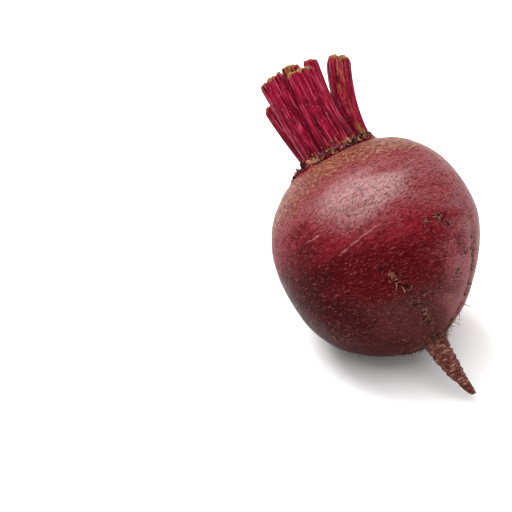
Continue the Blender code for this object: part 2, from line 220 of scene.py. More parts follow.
class BeetSkinSettings(bpy.types.PropertyGroup):
    radius: length("Radius", "Radius of the root's widest ring", 39.0 * MM)
    rows: count("Rows", "Rings of the skin mesh, from crown to tail", 250, 40)
    columns: count("Columns", "Points round each ring", 378, 40)
    relief: length("Relief", "Height of the skin's uneven places", 0.14 * MM)
    pit_depth: length("Pit depth", "Depth of the pits that side rootlets leave", 0.6 * MM)
    red: colour("Red skin", "Clean skin, brightest above the widest part", "701620")
    crimson: colour("Crimson skin", "Deepest red, just below the widest part", "400104")
    # Dust on the upper half; on one side it also carries a painted sheen of the bright room.
    dust_and_sheen: colour("Dusty skin", "Skin dulled by a dry film", "66393d")
    brown: colour("Brown skin", "Skin of the tail end", "3e1e1a")
    dark: colour("Dark skin", "Pores, pits and cracks", "140404")
    scurf: colour("Scurf", "Corky flakes round the crown", "48241b")
    straw: colour("Straw", "Bright edges of flakes", "744a3a")
    gold: colour("Gold", "Loose strokes of dry skin that catch the light", "b4845c")
    mauve: colour("Mauve", "Film with earth rubbed into it", "584048")
    pale: colour("Pale flecks", "Fine scratches in the skin", "8a4a4a")
    lip: colour("Lip", "Torn skin beside the crown", "701018")
    # The darkest red: fine dark strokes and specks, and painted shade low on the darkest side.
    wine_and_painted_shade: colour("Wine", "Darkest red, low on one side", "280203")
    # Painted highlight: pale skin on the shoulder that stands in for the key light's sheen.
    painted_highlight: colour("Bloom", "Skin under the thickest film, on the shoulder", "b6a09e")
    hair: colour("Root hair", "Dry side rootlets and hairs", "8a5a42")
    tail: colour("Tail", "Skin of the tail root", "5c3228")
    fleck: colour("Tail flecks", "Worn ridges of the tail's wrinkles", "a87e76")


class StalkSettings(bpy.types.PropertyGroup):
    rows: count("Rows", "Rings along a stalk", 96, 10)
    columns: count("Columns", "Points round a stalk", 150, 24)
    ribs: count("Ribs", "Ribs round a stalk", 21, 3)
    rib: number("Rib height", "As a share of the stalk's half width", 0.065)
    # Painted shade between the ribs; it also darkens streaks and fine lines.
    groove: colour("Groove", "Between the ribs", "240106")
    flesh: colour("Flesh", "Sides of the ribs", "7c0224")
    # Painted highlight along the ribs and in broad streaks; it is also the pale flesh of the cut end.
    crest: colour("Crest", "Tops of the ribs", "b04058")
    olive: colour("Olive", "Green streaks", "6c581e")
    rim: colour("Rim", "Dried edge of the cut", "7a5a30")
    fleck: colour("Flecks", "Straw-coloured flecks on the ribs", "a8785a")
    cut: colour("Cut", "Cut end", "7e6038")


class CrownSettings(bpy.types.PropertyGroup):
    rim_scales: count("Rim scales", "Leaf bases on the rim", 170, 0)
    skin_flakes: count("Skin flakes", "Torn skin on the root's top edge", 170, 0)
    inner_scales: count("Inner scales", "Leaf bases among the stalks", 46, 0)
    shreds: count("Shreds", "Torn bits round the foot of each stalk", 15, 0)
    roughness: length("Roughness", "Height of the cork's lumps", 0.9 * MM)
    cork: colour("Cork", "Dead leaf bases", "140a06")
    bark: colour("Bark", "Weathered cork", "3c2216")
    tip: colour("Straw", "Dry torn tips", "946c4c")
    bud: colour("Bud", "Fresh red tissue that shows between the scales", "6c0c1e")
    lilac: colour("Lilac", "Bruised tissue", "54283a")


class StudioSettings(bpy.types.PropertyGroup):
    lens: FloatProperty(name="Lens", description="Focal length in millimetres", unit="CAMERA", default=120.0)
    distance: length("Distance", "From the camera to the middle of the body", 0.64)
    key: number("Key light", "Strength of the soft light from behind", 4.0)
    top: number("Top light", "Strength of the broad light overhead", 3.0)
    room: number("Room", "Brightness of the room", 0.4)
    sweep: colour("Sweep", "White paper", "f2f2f2")


def to_world(points):
    """Points in the beet's own frame, turned and moved to where the beet lies."""
    return points @ LIE.T + BODY_MIDDLE


def smooth(share):
    """0 below 0, 1 above 1, and an S-shaped rise between them."""
    share = np.clip(share, 0.0, 1.0)
    return share * share * (3.0 - 2.0 * share)


def unit(vectors):
    """The vectors at length one."""
    return vectors / np.maximum(np.linalg.norm(vectors, axis=-1, keepdims=True), 1e-12)


def compass(azimuth):
    """Level unit vectors that point at the azimuths."""
    azimuth = np.asarray(azimuth, float)
    return np.stack([np.cos(azimuth), np.sin(azimuth), np.zeros_like(azimuth)], axis=-1)


def short_way(angle):
    """The same angle, between minus half a turn and half a turn."""
    return (angle + math.pi) % TURN - math.pi


def whole_turn(steps):
    """Evenly spaced angles round one turn."""
    return np.linspace(0, TURN, steps, endpoint=False)


def stacked(*fields):
    """Vectors whose parts are the fields, spread to one shape."""
    return np.stack(np.broadcast_arrays(*fields), axis=-1)


def circled(angle, reach, rise):
    """Places on a circle at a height, where noise is read so that it has no join round a piece."""
    return stacked(np.cos(angle) * reach, np.sin(angle) * reach, rise)


def noise(points, seed):
    """Smooth noise from -1 to 1: a random value at each whole-number place, eased between the eight nearest."""
    cell = np.floor(points).astype(np.int64)
    part = points - cell
    part = part * part * (3.0 - 2.0 * part)
    total = np.zeros(points.shape[:-1])
    for corner in range(8):
        step = np.array([corner & 1, corner >> 1 & 1, corner >> 2 & 1])
        # Large odd numbers mix the place and the seed into a random-looking whole number.
        key = (cell + step) @ np.array([73856093, 19349663, 83492791]) + seed * 2654435
        key = (key ^ (key >> 13)) * 1274126177
        key = (key ^ (key >> 16)) & 0xFFFF
        total += (key / 32767.5 - 1.0) * np.prod(np.where(step, part, 1.0 - part), axis=-1)
    return total


def layered_noise(points, seed, layers):
    """Noise at doubling fineness and halving height, added up."""
    return sum(noise(points * 2**k, seed + k) / 2**k for k in range(layers))


def grid_normals(grid):
    """Unit normals of a grid whose rows close on themselves: across the row times down the rows, turned outwards."""
    across = np.roll(grid, -1, axis=-2) - np.roll(grid, 1, axis=-2)
    down = np.gradient(grid, axis=-3)
    normals = unit(np.cross(across, down))
    middle = grid.mean(axis=-2, keepdims=True)
    outward = np.sum(normals * (grid - middle), axis=(-1, -2, -3), keepdims=True)
    return normals * np.where(outward < 0, -1.0, 1.0)


def faces_of_grids(shapes, rows, columns):
    """Corners of the quads of each grid, and of the fans of triangles that close its first and last rows."""
    i, j = np.meshgrid(np.arange(rows - 1), np.arange(columns), indexing="ij")
    k = (j + 1) % columns
    quads = np.stack([i * columns + j, i * columns + k, (i + 1) * columns + k, (i + 1) * columns + j], axis=-1)
    ends = np.arange(columns)
    after = (ends + 1) % columns
    first = np.full(columns, rows * columns)
    last_row = (rows - 1) * columns
    fans = [
        np.stack([first, after, ends], axis=-1),
        np.stack([first + 1, last_row + ends, last_row + after], axis=-1),
    ]
    offset = np.arange(shapes)[:, None, None] * (rows * columns + 2)
    quads = (quads.reshape(1, -1, 4) + offset).reshape(-1, 4)
    fans = (np.concatenate(fans)[None] + offset).reshape(-1, 3)
    return quads, fans


def with_ends(values):
    """A grid's values in a row of points, followed by the means of its first and last rows, for the two poles."""
    shapes, rows, columns = values.shape[:3]
    flat = values.reshape(shapes, rows * columns, -1)
    poles = np.stack([values[:, 0].mean(axis=1), values[:, -1].mean(axis=1)], axis=1).reshape(shapes, 2, -1)
    return np.concatenate([flat, poles], axis=1).reshape(shapes * (rows * columns + 2), -1)


def grid_object(name, grids, material, masks):
    """A mesh object of closed shapes. grids holds one (rows, columns, 3) grid of world points for each shape."""
    shapes, rows, columns = grids.shape[:3]
    points = with_ends(grids)
    quads, fans = faces_of_grids(shapes, rows, columns)
    a, b, c = points[quads[:, 0]], points[quads[:, 1]], points[quads[:, 2]]
    if np.einsum("ij,ij->", a - points.mean(axis=0), np.cross(b - a, c - a)) < 0:
        quads, fans = quads[:, ::-1], fans[:, ::-1]
    mesh = bpy.data.meshes.new(name)
    mesh.vertices.add(len(points))
    mesh.vertices.foreach_set("co", points.astype(np.float32).ravel())
    mesh.loops.add(quads.size + fans.size)
    mesh.loops.foreach_set("vertex_index", np.concatenate([quads.ravel(), fans.ravel()]).astype(np.int32))
    mesh.polygons.add(len(quads) + len(fans))
    starts = np.concatenate([np.arange(len(quads)) * 4, quads.size + np.arange(len(fans)) * 3])
    mesh.polygons.foreach_set("loop_start", starts.astype(np.int32))
    for mask, values in masks.items():
        kind, field = ("FLOAT_VECTOR", "vector") if values.ndim == 4 else ("FLOAT", "value")
        layer = mesh.attributes.new(mask, kind, "POINT")
        layer.data.foreach_set(field, with_ends(values).astype(np.float32).ravel())
    mesh.update(calc_edges=True)
    mesh.validate()
    mesh.shade_smooth()
    mesh.materials.append(material)
    return new_object(name, mesh)


def dress(piece, slot, *nodes):
    """The piece rides on the one body and stands for the CAD nodes, which are hidden. The slot is not used."""
    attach(piece, "root")
    if nodes:
        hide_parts(*nodes)


def new_object(name, data):
    """A new object in the scene."""
    made = bpy.data.objects.new(name, data)
    bpy.context.scene.collection.objects.link(made)
    return made


def new_material(name):
    """An empty material and its node tree."""
    made = bpy.data.materials.new(name)
    made.use_nodes = True
    tree = made.node_tree
    tree.nodes.clear()
    return made, tree


def add(tree, kind, inputs=None, output=0, **settings):
    """Adds a node with its settings, sets or links each input, and gives back one of its outputs."""
    made = tree.nodes.new(kind)
    for name, value in settings.items():
        setattr(made, name, value)
    for name, value in (inputs or {}).items():
        socket = made.inputs[name]
        if isinstance(value, bpy.types.NodeSocket):
            tree.links.new(value, socket)
        elif socket.type == "RGBA" and len(value) == 3:
            socket.default_value = (*value, 1.0)
        else:
            socket.default_value = value
    return made.outputs[output] if len(made.outputs) else None


def add_fields(tree, masks, grains, mixes):
    """Fields that drive a material: masks of the mesh, grains of noise, and mixes of those.

    A grain has the attribute that it runs on, its grains per millimetre each way (few along a stroke and many
    across it), its detail, roughness and distortion. A mix has what is done, and the fields or numbers it is
    done to.
    """
    fields = {name: add(tree, MASK, attribute_name=name, output=2) for name in masks}
    for name, (space, scale, detail, roughness, distortion) in grains.items():
        vector = add(tree, MASK, attribute_name=space, output=1)
        placed = add(tree, PLACED, {"Vector": vector, "Scale": scale})
        inputs = {"Vector": placed, "Scale": 1.0, "Detail": detail, "Roughness": roughness, "Distortion": distortion}
        fields[name] = add(tree, GRAIN, inputs)
    for name, (operation, *parts) in mixes.items():
        inputs = {i: fields.get(part, part) for i, part in enumerate(parts)}
        fields[name] = add(tree, MATHS, inputs, operation=operation)
    return fields


def lay_coats(tree, fields, settings, base, coats):
    """Coats laid on a base colour one after another: (what drives it, from, to, most of the coat, its colour)."""
    for driver, low, high, most, dye in coats:
        amount = add(tree, RANGE, {0: fields[driver], 1: low, 2: high, 4: most}, **EASED)
        base = add(tree, MIX, {0: amount, 6: base, 7: getattr(settings, dye)}, **COLOURS)
    return base


def body_radius(height, radius):
    """The radius of the round body at each height: radius * (1 - (height / reach) ** blunt) ** (1 / full)."""
    up = height > 0
    reach = np.where(up, CROWN_HALF[0], TAIL_HALF[0])
    blunt = np.where(up, CROWN_HALF[1], TAIL_HALF[1])
    full = np.where(up, CROWN_HALF[2], TAIL_HALF[2])
    return radius * np.clip(1.0 - (np.abs(height) / reach) ** blunt, 0.0, 1.0) ** (1.0 / full)


def seam_azimuth(seam, height):
    """Seams slant: they turn by SEAM_SLANT radians for each metre below SEAM_LEVEL."""
    return seam + SEAM_SLANT * (SEAM_LEVEL - height)


def seam_distance(azimuth, height, reach):
    """Distance across the skin to the nearest seam, at a distance reach from the axis."""
    nearest = np.full(np.broadcast(azimuth, height, reach).shape, 1.0)
    for seam in SEAM_AZIMUTHS:
        away = np.abs(short_way(azimuth - seam_azimuth(seam, height))) * reach
        nearest = np.minimum(nearest, away)
    return nearest


def body_ring(azimuth, height, radius):
    """Distance from the ring's own middle to the body: the round radius, swollen, and furrowed at the seams."""
    reach = body_radius(height, radius)
    fade = smooth((reach - 10 * MM) / (16 * MM)) * smooth((LIP_HEIGHT - height) / (8 * MM))
    out = reach
    for waves, rise, turn, twist in SWELLINGS:
        out = out + fade * rise * np.sin(waves * azimuth + turn + twist * height / radius)
    fade = smooth((SEAM_TOP - height) / (14 * MM)) * smooth(out / (9 * MM))
    away = seam_distance(azimuth, height, out)
    return out - SEAM_DEPTH * np.exp(-((away / SEAM_HALF_WIDTH) ** 2)) * fade


def tail_share(height):
    """How far down the tail each height is, from 0 at its foot to 1 at its tip."""
    return np.clip((TAIL_START - height) / (TAIL_START - TAIL_TIP), 0.0, 1.0)


def tail_middle(height):
    """The tail's centreline: its foot, bending away with the 2.5th power of the way to the tip."""
    share = tail_share(height)[..., None]
    return TAIL_FOOT + TAIL_BEND * share**2.5


def root_grid(azimuth, height, radius):
    """The body and the tail as one surface in the beet's frame.

    Each ring is measured from one middle, which drifts from the axis to the tail's centreline. Its distance is
    the larger of two, eased where they cross: out to the lopsided body's ring, and out to the tail.
    """
    middle = tail_middle(height) * smooth((-height - 8 * MM) / (30 * MM))[..., None]
    lopsided = compass(np.full_like(height, LOPSIDED_AZIMUTH)) * LOPSIDED_SHIFT
    lopsided = lopsided * smooth(-height / LOPSIDED_REACH)[..., None]
    way = compass(azimuth)
    offset = middle - lopsided
    along = np.sum(way * offset, axis=-1)
    reach = body_ring(azimuth, height, radius)
    inside = reach**2 - np.sum(offset**2, axis=-1)
    body = np.where(inside > 0, np.sqrt(np.maximum(inside + along**2, 0.0)) - along, 0.0)
    tail = np.interp(tail_share(height), TAIL_STOPS, TAIL_RADII) * (height < TAIL_START)
    blend = 1.6 * MM
    share = np.clip(0.5 + 0.5 * (body - tail) / blend, 0.0, 1.0)
    out = body * share + tail * (1 - share) + blend * share * (1 - share) * (height < TAIL_START)
    point = middle + way * out[..., None]
    point[..., 2] = height
    away = point[..., 0] * math.cos(CROWN_DIP) + point[..., 1] * math.sin(CROWN_DIP)
    start = CROWN_DIP_START
    point[..., 2] -= CROWN_DIP_SLOPE * away * smooth((height - start) / (LIP_HEIGHT - start))
    return point


def root_point(azimuth, height, radius):
    """One point of root_grid."""
    return root_grid(np.array([azimuth]), np.array([height]), radius)[0]


def ring_heights(rows, radius):
    """Heights of the rings, evenly spaced along the profile, and closer together from the tail end on."""
    body = np.linspace(LIP_HEIGHT, TAIL_HALF[0] * -0.9999, 6000)
    dense = np.concatenate([body, np.linspace(-43.7 * MM, TAIL_TIP, 600)])
    reach = np.maximum(body_radius(dense, radius), 1 * MM)
    step = np.hypot(np.diff(reach), np.diff(dense))
    step *= np.where(dense[1:] < -28 * MM, 1.5, 1.0)
    run = np.concatenate([[0.0], np.cumsum(step)])
    return np.interp(np.linspace(0, run[-1], rows), run, dense)


def in_scar(draw, scar, share):
    """A random azimuth and height in a scar, scattered by a share of its width."""
    turned, level, width = scar
    azimuth = math.radians(turned) + draw.gauss(0.0, share * width * MM / SCAR_REACH)
    return azimuth, (level + draw.gauss(0.0, share * width)) * MM


def pit_places(draw):
    """(azimuth, height, size, depth share) of each pit: thick along the seams near the tail, and in the scars."""
    pits = []
    for seam in SEAM_AZIMUTHS:
        for _ in range(SEAM_PITS):
            way = draw.random()
            height = (-17.5 - 26.0 * way) * MM
            spread = 0.055 - 0.02 * way
            azimuth = seam_azimuth(seam, height) + draw.gauss(0.0, spread)
            pits.append((azimuth, height, draw.uniform(0.45, 1.0) * MM, draw.uniform(0.3, 1.0)))
    for scar in SCARS:
        for _ in range(4 + int(3 * scar[2])):
            place = in_scar(draw, scar, 0.45)
            pits.append((*place, draw.uniform(0.35, 0.7) * MM, draw.uniform(0.3, 0.8)))
    return pits


def pitted(grid, pits, radius):
    """How deep each point of the grid is pitted, from 0 to 1: each pit is a bell, wider round the beet than along."""
    depth = np.zeros(grid.shape[:-1])
    for azimuth, height, size, share in pits:
        gap = grid - root_point(azimuth, height, radius)
        round_beet = np.array([-math.sin(azimuth), math.cos(azimuth), 0.0])
        across = gap @ round_beet
        along_sq = np.maximum(np.sum(gap**2, axis=-1) - across**2, 0.0)
        bell = np.exp(-((across / (1.7 * size)) ** 2) - along_sq / (0.7 * size) ** 2)
        depth = np.maximum(depth, share * bell)
    return depth


def scarred(azimuth, height, point, radius):
    """Where the skin is broken: along the seams, wider at their upper ends, and in the scars, from 0 to 1."""
    reach = body_radius(height, radius)
    way = np.clip((-17 * MM - height) / (26 * MM), 0.0, 1.0)
    width = (2.6 - 1.2 * way) * MM
    broken = np.exp(-((seam_distance(azimuth, height, reach) / width) ** 2)) * smooth((-15 * MM - height) / (5 * MM))
    broken = broken * smooth(0.75 + 0.9 * noise(point / (3.1 * MM), 29)) * smooth((height + 44 * MM) / (2.5 * MM))
    for scar, level, width in SCARS:
        gap = np.linalg.norm(point - root_point(math.radians(scar), level * MM, radius), axis=-1)
        broken = np.maximum(broken, 0.9 * np.exp(-((gap / (width * MM)) ** 2)))
    return broken


def scratched(azimuth, height, radius):
    """Thin bells along straight lines on the unrolled skin, fading to their ends."""
    marks = np.zeros(np.broadcast(azimuth, height).shape)
    for turned, level, span, slope in SCRATCHES:
        across = short_way(azimuth - math.radians(turned)) * radius
        away = (height - level * MM - slope * across) / (0.5 * MM)
        marks = np.maximum(marks, np.exp(-(away**2)) * smooth(2.0 - 2.8 * np.abs(across) / (span * MM)))
    return marks


def skin_masks(azimuth, height, point, radius):
    """Shares from 0 to 1 of each kind of skin at each point.

    Each share rises smoothly over the span it is divided by, from an edge in millimetres over the widest ring
    that patches of noise make ragged.
    """
    patches = layered_noise(circled(azimuth, 2.2, height / (5 * MM)), 11, 3)
    flakes = layered_noise(point / (2.2 * MM), 17, 2)
    aside = 1.0 - np.cos(azimuth - FACING_SIDE) ** 2
    low_edge = (11.0 - 9.0 * aside + 4.0 * patches + 3.0 * flakes) * MM
    scurf = smooth((height - low_edge) / (22 * MM))
    # The side with the most dust also carries a painted sheen of the bright room.
    side = smooth((np.cos(azimuth - DUST_AND_SHEEN_SIDE) - 0.05 + 0.3 * patches) / 0.9)
    # Painted shade on the darkest side: the dust and crimson edges are raised there, so it is redder and darker.
    dark = np.cos(azimuth - PAINTED_SHADE_SIDE)
    raised = 14.0 * np.maximum(0.0, dark)
    top = smooth((height + (9.0 - raised - 5.0 * patches) * MM) / (17 * MM))
    crimson_edge = (-1.0 + raised + 7.0 * patches) * MM
    # Painted highlight: a pale shoulder patch for the key light's sheen, and two fainter copies round the beet.
    shoulder = np.exp(-(((height - (9.0 + 3.0 * patches) * MM) / (11 * MM)) ** 2))
    away = short_way(azimuth[..., None] - PAINTED_HIGHLIGHT_AZIMUTHS)
    painted_highlight = (PAINTED_HIGHLIGHT_SHARES * np.exp(-(away**2) / 0.22)).max(axis=-1)
    torn = smooth((np.cos(azimuth - TORN_SIDE) - 0.7) / 0.2)
    # Painted shade: the darkest red, low on the darkest side.
    wine_and_painted_shade = smooth((dark - 0.3 + 0.1 * patches) / 0.6) * smooth((20 * MM - height + 4 * MM * patches) / (24 * MM))
    dust_and_sheen = np.maximum(0.8 * top, 0.9 * side * smooth((44 * MM + height) / (8 * MM)))
    return {
        "scurf": scurf,
        "dust_and_sheen": dust_and_sheen * (1 - 0.5 * scurf) * (1 - 0.6 * wine_and_painted_shade),
        "wine_and_painted_shade": wine_and_painted_shade,
        "painted_highlight": shoulder * smooth(painted_highlight * (1.0 + 0.5 * patches)),
        "crimson": smooth((crimson_edge - height) / (18 * MM)) * (1 - side),
        "brown": smooth((-22 * MM - height + 5 * MM * patches) / (13 * MM)),
        "lip": smooth((height - 34.3 * MM + 0.7 * MM * flakes) / (0.5 * MM)) * torn,
        "tail": smooth((-41.5 * MM - height) / (3 * MM)),
        "broken": scarred(azimuth, height, point, radius),
        "scratch": scratched(azimuth, height, radius),
    }


def wrapped(azimuth, run, twist=0.0):
    """Coordinates in millimetres that wrap round a piece with no join: a circle, and the run along the profile.

    With a twist, lines that wind round the beet by twist radians a millimetre keep the same place on the circle.
    """
    return circled(azimuth + twist * run / MM, 39, run / MM)


def skin_material(settings):
    """Beetroot skin: a thin dry film of cork over red flesh, rubbed by earth.

    It gives the eye a satin sheen, mostly a painted highlight on the shoulder, broken by a weave of fine strokes,
    tan flakes at the crown, dark torn strokes along the seams, and painted shade low on one side. Pores and
    strokes are a third of a millimetre wide on a real root. They are drawn twice as coarse, because the picture
    shows nothing finer.
    """
    made, tree = new_material("beetroot_skin")
    masks = ("scurf", "dust_and_sheen", "painted_highlight", "wine_and_painted_shade", "crimson", "brown", "lip", "tail", "broken", "scratch", "pits")
    grains = {
        "left": ("weave_left", (1.2, 1.2, 1.2), 1.0, 0.65, 0.4),
        "right": ("weave_right", (0.8, 0.8, 1.5), 1.0, 0.65, 0.4),
        "ring": ("around", (0.55, 0.55, 2.2), 1.0, 0.65, 0.4),
        "band": ("around", (0.08, 0.08, 0.5), 4.0, 0.65, 0.4),
        "speck": ("place", (1.5, 1.5, 1.5), 1.0, 0.65, 0.0),
        "patch": ("place", (0.14, 0.14, 0.16), 5.0, 0.65, 0.5),
        "flake": ("place", (0.8, 0.8, 0.8), 4.0, 0.65, 0.6),
        "ridge": ("place", (0.55, 0.55, 1.6), 3.0, 0.65, 0.8),
    }
    mixes = {
        "weave": ("MAXIMUM", "left", "right"),
        "pores": ("MINIMUM", "left", "speck"),
        "ragged": ("MULTIPLY", "broken", "ring"),
        "fibres": ("MULTIPLY", "broken", "weave"),
        "flaky": ("MULTIPLY", "scurf", "flake"),
        "bright": ("MULTIPLY", "scurf", "ring"),
        "gleam": ("MULTIPLY_ADD", "scurf", 0.25, "right"),
        "film": ("MULTIPLY", "dust_and_sheen", "patch"),
        "filmy": ("MULTIPLY_ADD", "dust_and_sheen", 0.2, "ring"),
        "crossed": ("MULTIPLY_ADD", "dust_and_sheen", 0.2, "right"),
        "deep": ("MULTIPLY", "crimson", "patch"),
        "streaked_painted_highlight": ("MULTIPLY", "painted_highlight", "ring"),
        "painted_shade_patches": ("MULTIPLY", "wine_and_painted_shade", "patch"),
        "scraped": ("MULTIPLY", "scratch", "speck"),
        "ridges": ("MULTIPLY", "tail", "ridge"),
        "folds": ("SUBTRACT", "tail", "ridge"),
        "rough": ("ADD", "weave", "pores"),
        "relief": ("ADD", "rough", "flaky"),
    }
    coats = (
        ("deep", 0.02, 0.56, 0.95, "crimson"),
        ("brown", 0.0, 1.0, 0.95, "brown"),
        ("film", -0.02, 0.62, 0.95, "dust_and_sheen"),
        ("film", 0.30, 0.54, 0.6, "mauve"),
        # Painted shade: darker red low on the darkest side.
        ("painted_shade_patches", 0.0, 0.55, 0.95, "wine_and_painted_shade"),
        # Painted highlight: the pale patch on the shoulder.
        ("streaked_painted_highlight", 0.04, 0.78, 0.95, "painted_highlight"),
        ("flaky", 0.14, 0.72, 0.9, "scurf"),
        ("band", 0.50, 0.30, 0.6, "crimson"),
        ("left", 0.52, 0.32, 0.68, "wine_and_painted_shade"),
        ("filmy", 0.58, 0.78, 0.55, "pale"),
        ("crossed", 0.58, 0.80, 0.5, "pale"),
        ("speck", 0.46, 0.28, 0.4, "wine_and_painted_shade"),
        ("bright", 0.44, 0.72, 0.7, "straw"),
        ("gleam", 0.82, 0.92, 0.75, "gold"),
        ("pores", 0.35, 0.24, 0.5, "dark"),
        ("tail", 0.0, 1.0, 0.9, "tail"),
        ("folds", 0.52, 0.66, 0.8, "dark"),
        ("ridges", 0.52, 0.68, 0.85, "fleck"),
        ("scraped", 0.22, 0.6, 0.5, "fleck"),
        ("lip", 0.3, 0.7, 0.75, "lip"),
        ("ragged", 0.24, 0.6, 0.75, "dark"),
        ("pits", 0.2, 0.6, 0.9, "dark"),
        ("fibres", 0.46, 0.62, 0.8, "hair"),
    )
    fields = add_fields(tree, masks, grains, mixes)
    clean = (("patch", 0.2, 0.55, 1.0, "red"),)
    base = lay_coats(tree, fields, settings, settings.crimson, clean + coats)
    bump = add(tree, BUMP, {"Strength": 0.6, "Distance": 0.3 * MM, "Height": fields["relief"]})
    gloss = add(tree, RANGE, {0: fields["pores"], 1: 0.3, 2: 0.5, 3: 0.5, 4: 0.32}, **EASED)
    inputs = {"Base Color": base, "Roughness": gloss, "IOR": 1.45, "Specular IOR Level": 0.03, "Normal": bump}
    shader = add(tree, "ShaderNodeBsdfPrincipled", inputs)
    add(tree, "ShaderNodeOutputMaterial", {"Surface": shader})
    return made


def hair_material(settings):
    """Dry root hair: stringy and matt.

    It gives the eye straw where it is rubbed clean and brown where earth clings, in patches of about 2 mm.
    """
    made, tree = new_material("dry_root_hair")
    fields = add_fields(tree, (), {"earth": ("place", (0.5, 0.5, 0.5), 2.0, 0.5, 0.0)}, {})
    base = lay_coats(tree, fields, settings, settings.hair, (("earth", 0.35, 0.62, 1.0, "brown"),))
    shader = add(tree, "ShaderNodeBsdfPrincipled", {"Base Color": base, "Roughness": 0.7, "IOR": 1.45})
    add(tree, "ShaderNodeOutputMaterial", {"Surface": shader})
    return made


class BEET_OT_root(bpy.types.Operator):
    """Make the root's skin, from the seat of the crown to the tip of the tail"""

    bl_idname = "beet.root"
    bl_label = "Root"

    def execute(self, context):
        settings = context.scene.beet_skin
        heights = ring_heights(settings.rows - 1, settings.radius)[:, None]
        azimuth = whole_turn(settings.columns)[None, :]
        azimuth, height = (np.array(field) for field in np.broadcast_arrays(azimuth, heights))
        point = root_grid(azimuth, height, settings.radius)
        pits = pitted(point, pit_places(random.Random(5)), settings.radius)
        masks = skin_masks(azimuth, height, point, settings.radius)
        run = np.cumsum(np.linalg.norm(np.gradient(point, axis=0), axis=-1).mean(axis=1))[:, None]
        masks["pits"] = pits
        masks["place"] = point / MM
        masks["around"] = wrapped(azimuth, run)
        masks["weave_left"] = wrapped(azimuth, run, 0.036)
        masks["weave_right"] = wrapped(azimuth, run, -0.06)
        relief = self.relief(azimuth, height, point, masks, settings)
        point = point + grid_normals(point) * relief[..., None]
        seat = point[:1] * np.array([0.9, 0.9, 1.0]) - UP * 0.6 * MM
        world = to_world(np.concatenate([seat, point]))
        world[..., 2] = np.maximum(world[..., 2], 0.0)
        masks = {name: np.concatenate([values[:1], values])[None] for name, values in masks.items()}
        skin = grid_object("beet_root_skin", world[None], skin_material(settings), masks)
        dress(skin, "beet_skin", "root")
        return {"FINISHED"}

    def relief(self, azimuth, height, point, masks, settings):
        """Heights over the smooth skin: lumps, creases round the shoulder, wrinkles round the tail, less the pits."""
        lumps = settings.relief * layered_noise(point / (9 * MM), 3, 4)
        creased = circled(azimuth, 4, height / (1.3 * MM))
        creases = 0.2 * MM * noise(creased, 23) * smooth((height - 22 * MM) / (10 * MM))
        lip = 0.35 * MM * masks["lip"] * (1 + noise(creased * np.array([4, 4, 0.5]), 27))
        rings = circled(azimuth, 0.8, height / (1.5 * MM))
        folds = 1.0 - 2.6 * np.abs(noise(rings, 31))
        wrinkles = (0.36 * folds + 0.2 * noise(rings * 2.3, 37)) * MM * masks["tail"]
        wrinkles = wrinkles * smooth((height - TAIL_TIP) / (12 * MM) + 0.35)
        torn = 0.45 * MM * layered_noise(point / (1.2 * MM), 41, 2) * masks["broken"]
        return lumps + creases + lip + wrinkles + torn - settings.pit_depth * masks["pits"]


def strand_grids(starts, ways, spans, thickness, sags, rows, sides):
    """Tapered tubes: each centre runs start + way * span * t + sag * span * t * t, for t from 0 to 1."""
    t = np.linspace(0, 1, rows)[None, :, None]
    span = spans[:, None, None]
    middle = starts[:, None] + ways[:, None] * span * t + sags[:, None] * span * t * t
    helper = np.where(np.abs(ways[:, 2:3]) > 0.9, np.array([[1.0, 0, 0]]), UP)
    across = unit(np.cross(ways, helper))
    other = np.cross(ways, across)
    turn = whole_turn(sides)
    ring = across[:, None] * np.cos(turn)[None, :, None] + other[:, None] * np.sin(turn)[None, :, None]
    radius = thickness[:, None, None, None] * (1.0 - 0.75 * t[..., None])
    return middle[:, :, None] + ring[:, None] * radius


def side_rootlets(radius):
    """Starts, ways, spans and sags of the stout rootlets that the CAD part has, by the same draws."""
    draw = random.Random(7)
    rows = []
    for seam in SEAM_AZIMUTHS:
        for i in range(4):
            height = -18 * MM - 21 * MM * ((i + draw.uniform(0.1, 0.9)) / 4) ** 0.8
            azimuth = seam_azimuth(seam, height) + draw.uniform(-0.04, 0.04)
            outward = unit(np.array([math.cos(azimuth), math.sin(azimuth), -0.5]))
            start = root_point(azimuth, height, radius) - outward * 1.5 * MM
            span = draw.uniform(2.8, 4.4) * MM
            sag = np.array([draw.uniform(-0.3, 0.3), draw.uniform(-0.3, 0.3), -0.3])
            if to_world(start + outward * span)[2] > 7 * MM:
                rows.append((start, outward, span, sag))
    return rows


